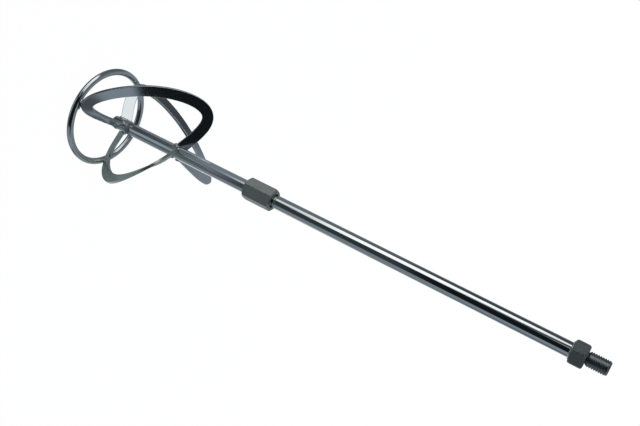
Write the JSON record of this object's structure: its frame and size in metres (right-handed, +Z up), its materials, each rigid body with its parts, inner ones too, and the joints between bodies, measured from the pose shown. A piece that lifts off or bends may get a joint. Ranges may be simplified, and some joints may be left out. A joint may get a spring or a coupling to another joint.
{
  "type": "mortar mixing paddle",
  "caption": "Welded mortar mixing head with curved flat blades on a round bottom ring, screwed by a hex coupling onto a tube with a hex and a threaded drive stud.",
  "frame": {"origin": "on the shaft's axis, in the plane the bottom ring stands on", "axes": "+Z up the shaft from the bottom ring to the drive thread; X and Y across it"},
  "size_m": [0.1252, 0.1235, 0.58],
  "materials": {
    "bright_zinc": "bright zinc plate on drawn steel",
    "dull_zinc": "satin zinc plate on hexagon bar",
    "thread_steel": "satin zinc plate on cut thread",
    "weld_metal": "zinc plate over weld beads"
  },
  "bodies": {
    "mixing_head": {"bottom_ring": "bright_zinc", "blade_1": "bright_zinc", "blade_2": "bright_zinc", "blade_3": "bright_zinc", "head_shaft": "bright_zinc", "coupling": "dull_zinc", "ring_weld_1": "weld_metal", "ring_weld_2": "weld_metal", "ring_weld_3": "weld_metal", "foot_weld_1": "weld_metal", "foot_weld_2": "weld_metal", "foot_weld_3": "weld_metal", "arm_weld_1": "weld_metal", "arm_weld_2": "weld_metal", "arm_weld_3": "weld_metal", "coupling_weld": "weld_metal"},
    "rod_carrier": {"neck_ring": "weld_metal"},
    "drive_rod": {"coupling_stud": "thread_steel", "drive_tube": "bright_zinc", "drive_hex": "dull_zinc", "drive_hex_weld": "weld_metal", "drive_stud": "thread_steel"}
  },
  "joints": [
    {"name": "rod_advance", "type": "slide", "parent": "mixing_head", "child": "rod_carrier", "axis": [0, 0, 1], "range_m": [0, 0.018]},
    {"name": "rod_turn", "type": "hinge", "parent": "rod_carrier", "child": "drive_rod", "pos_m": [0, 0, 0.235], "axis": [0, 0, 1], "range_deg": [0, 3240]}
  ],
  "couplings": [
    {"joint": "rod_advance", "follows": "rod_turn", "m_per_rad": 0.00031831}
  ]
}
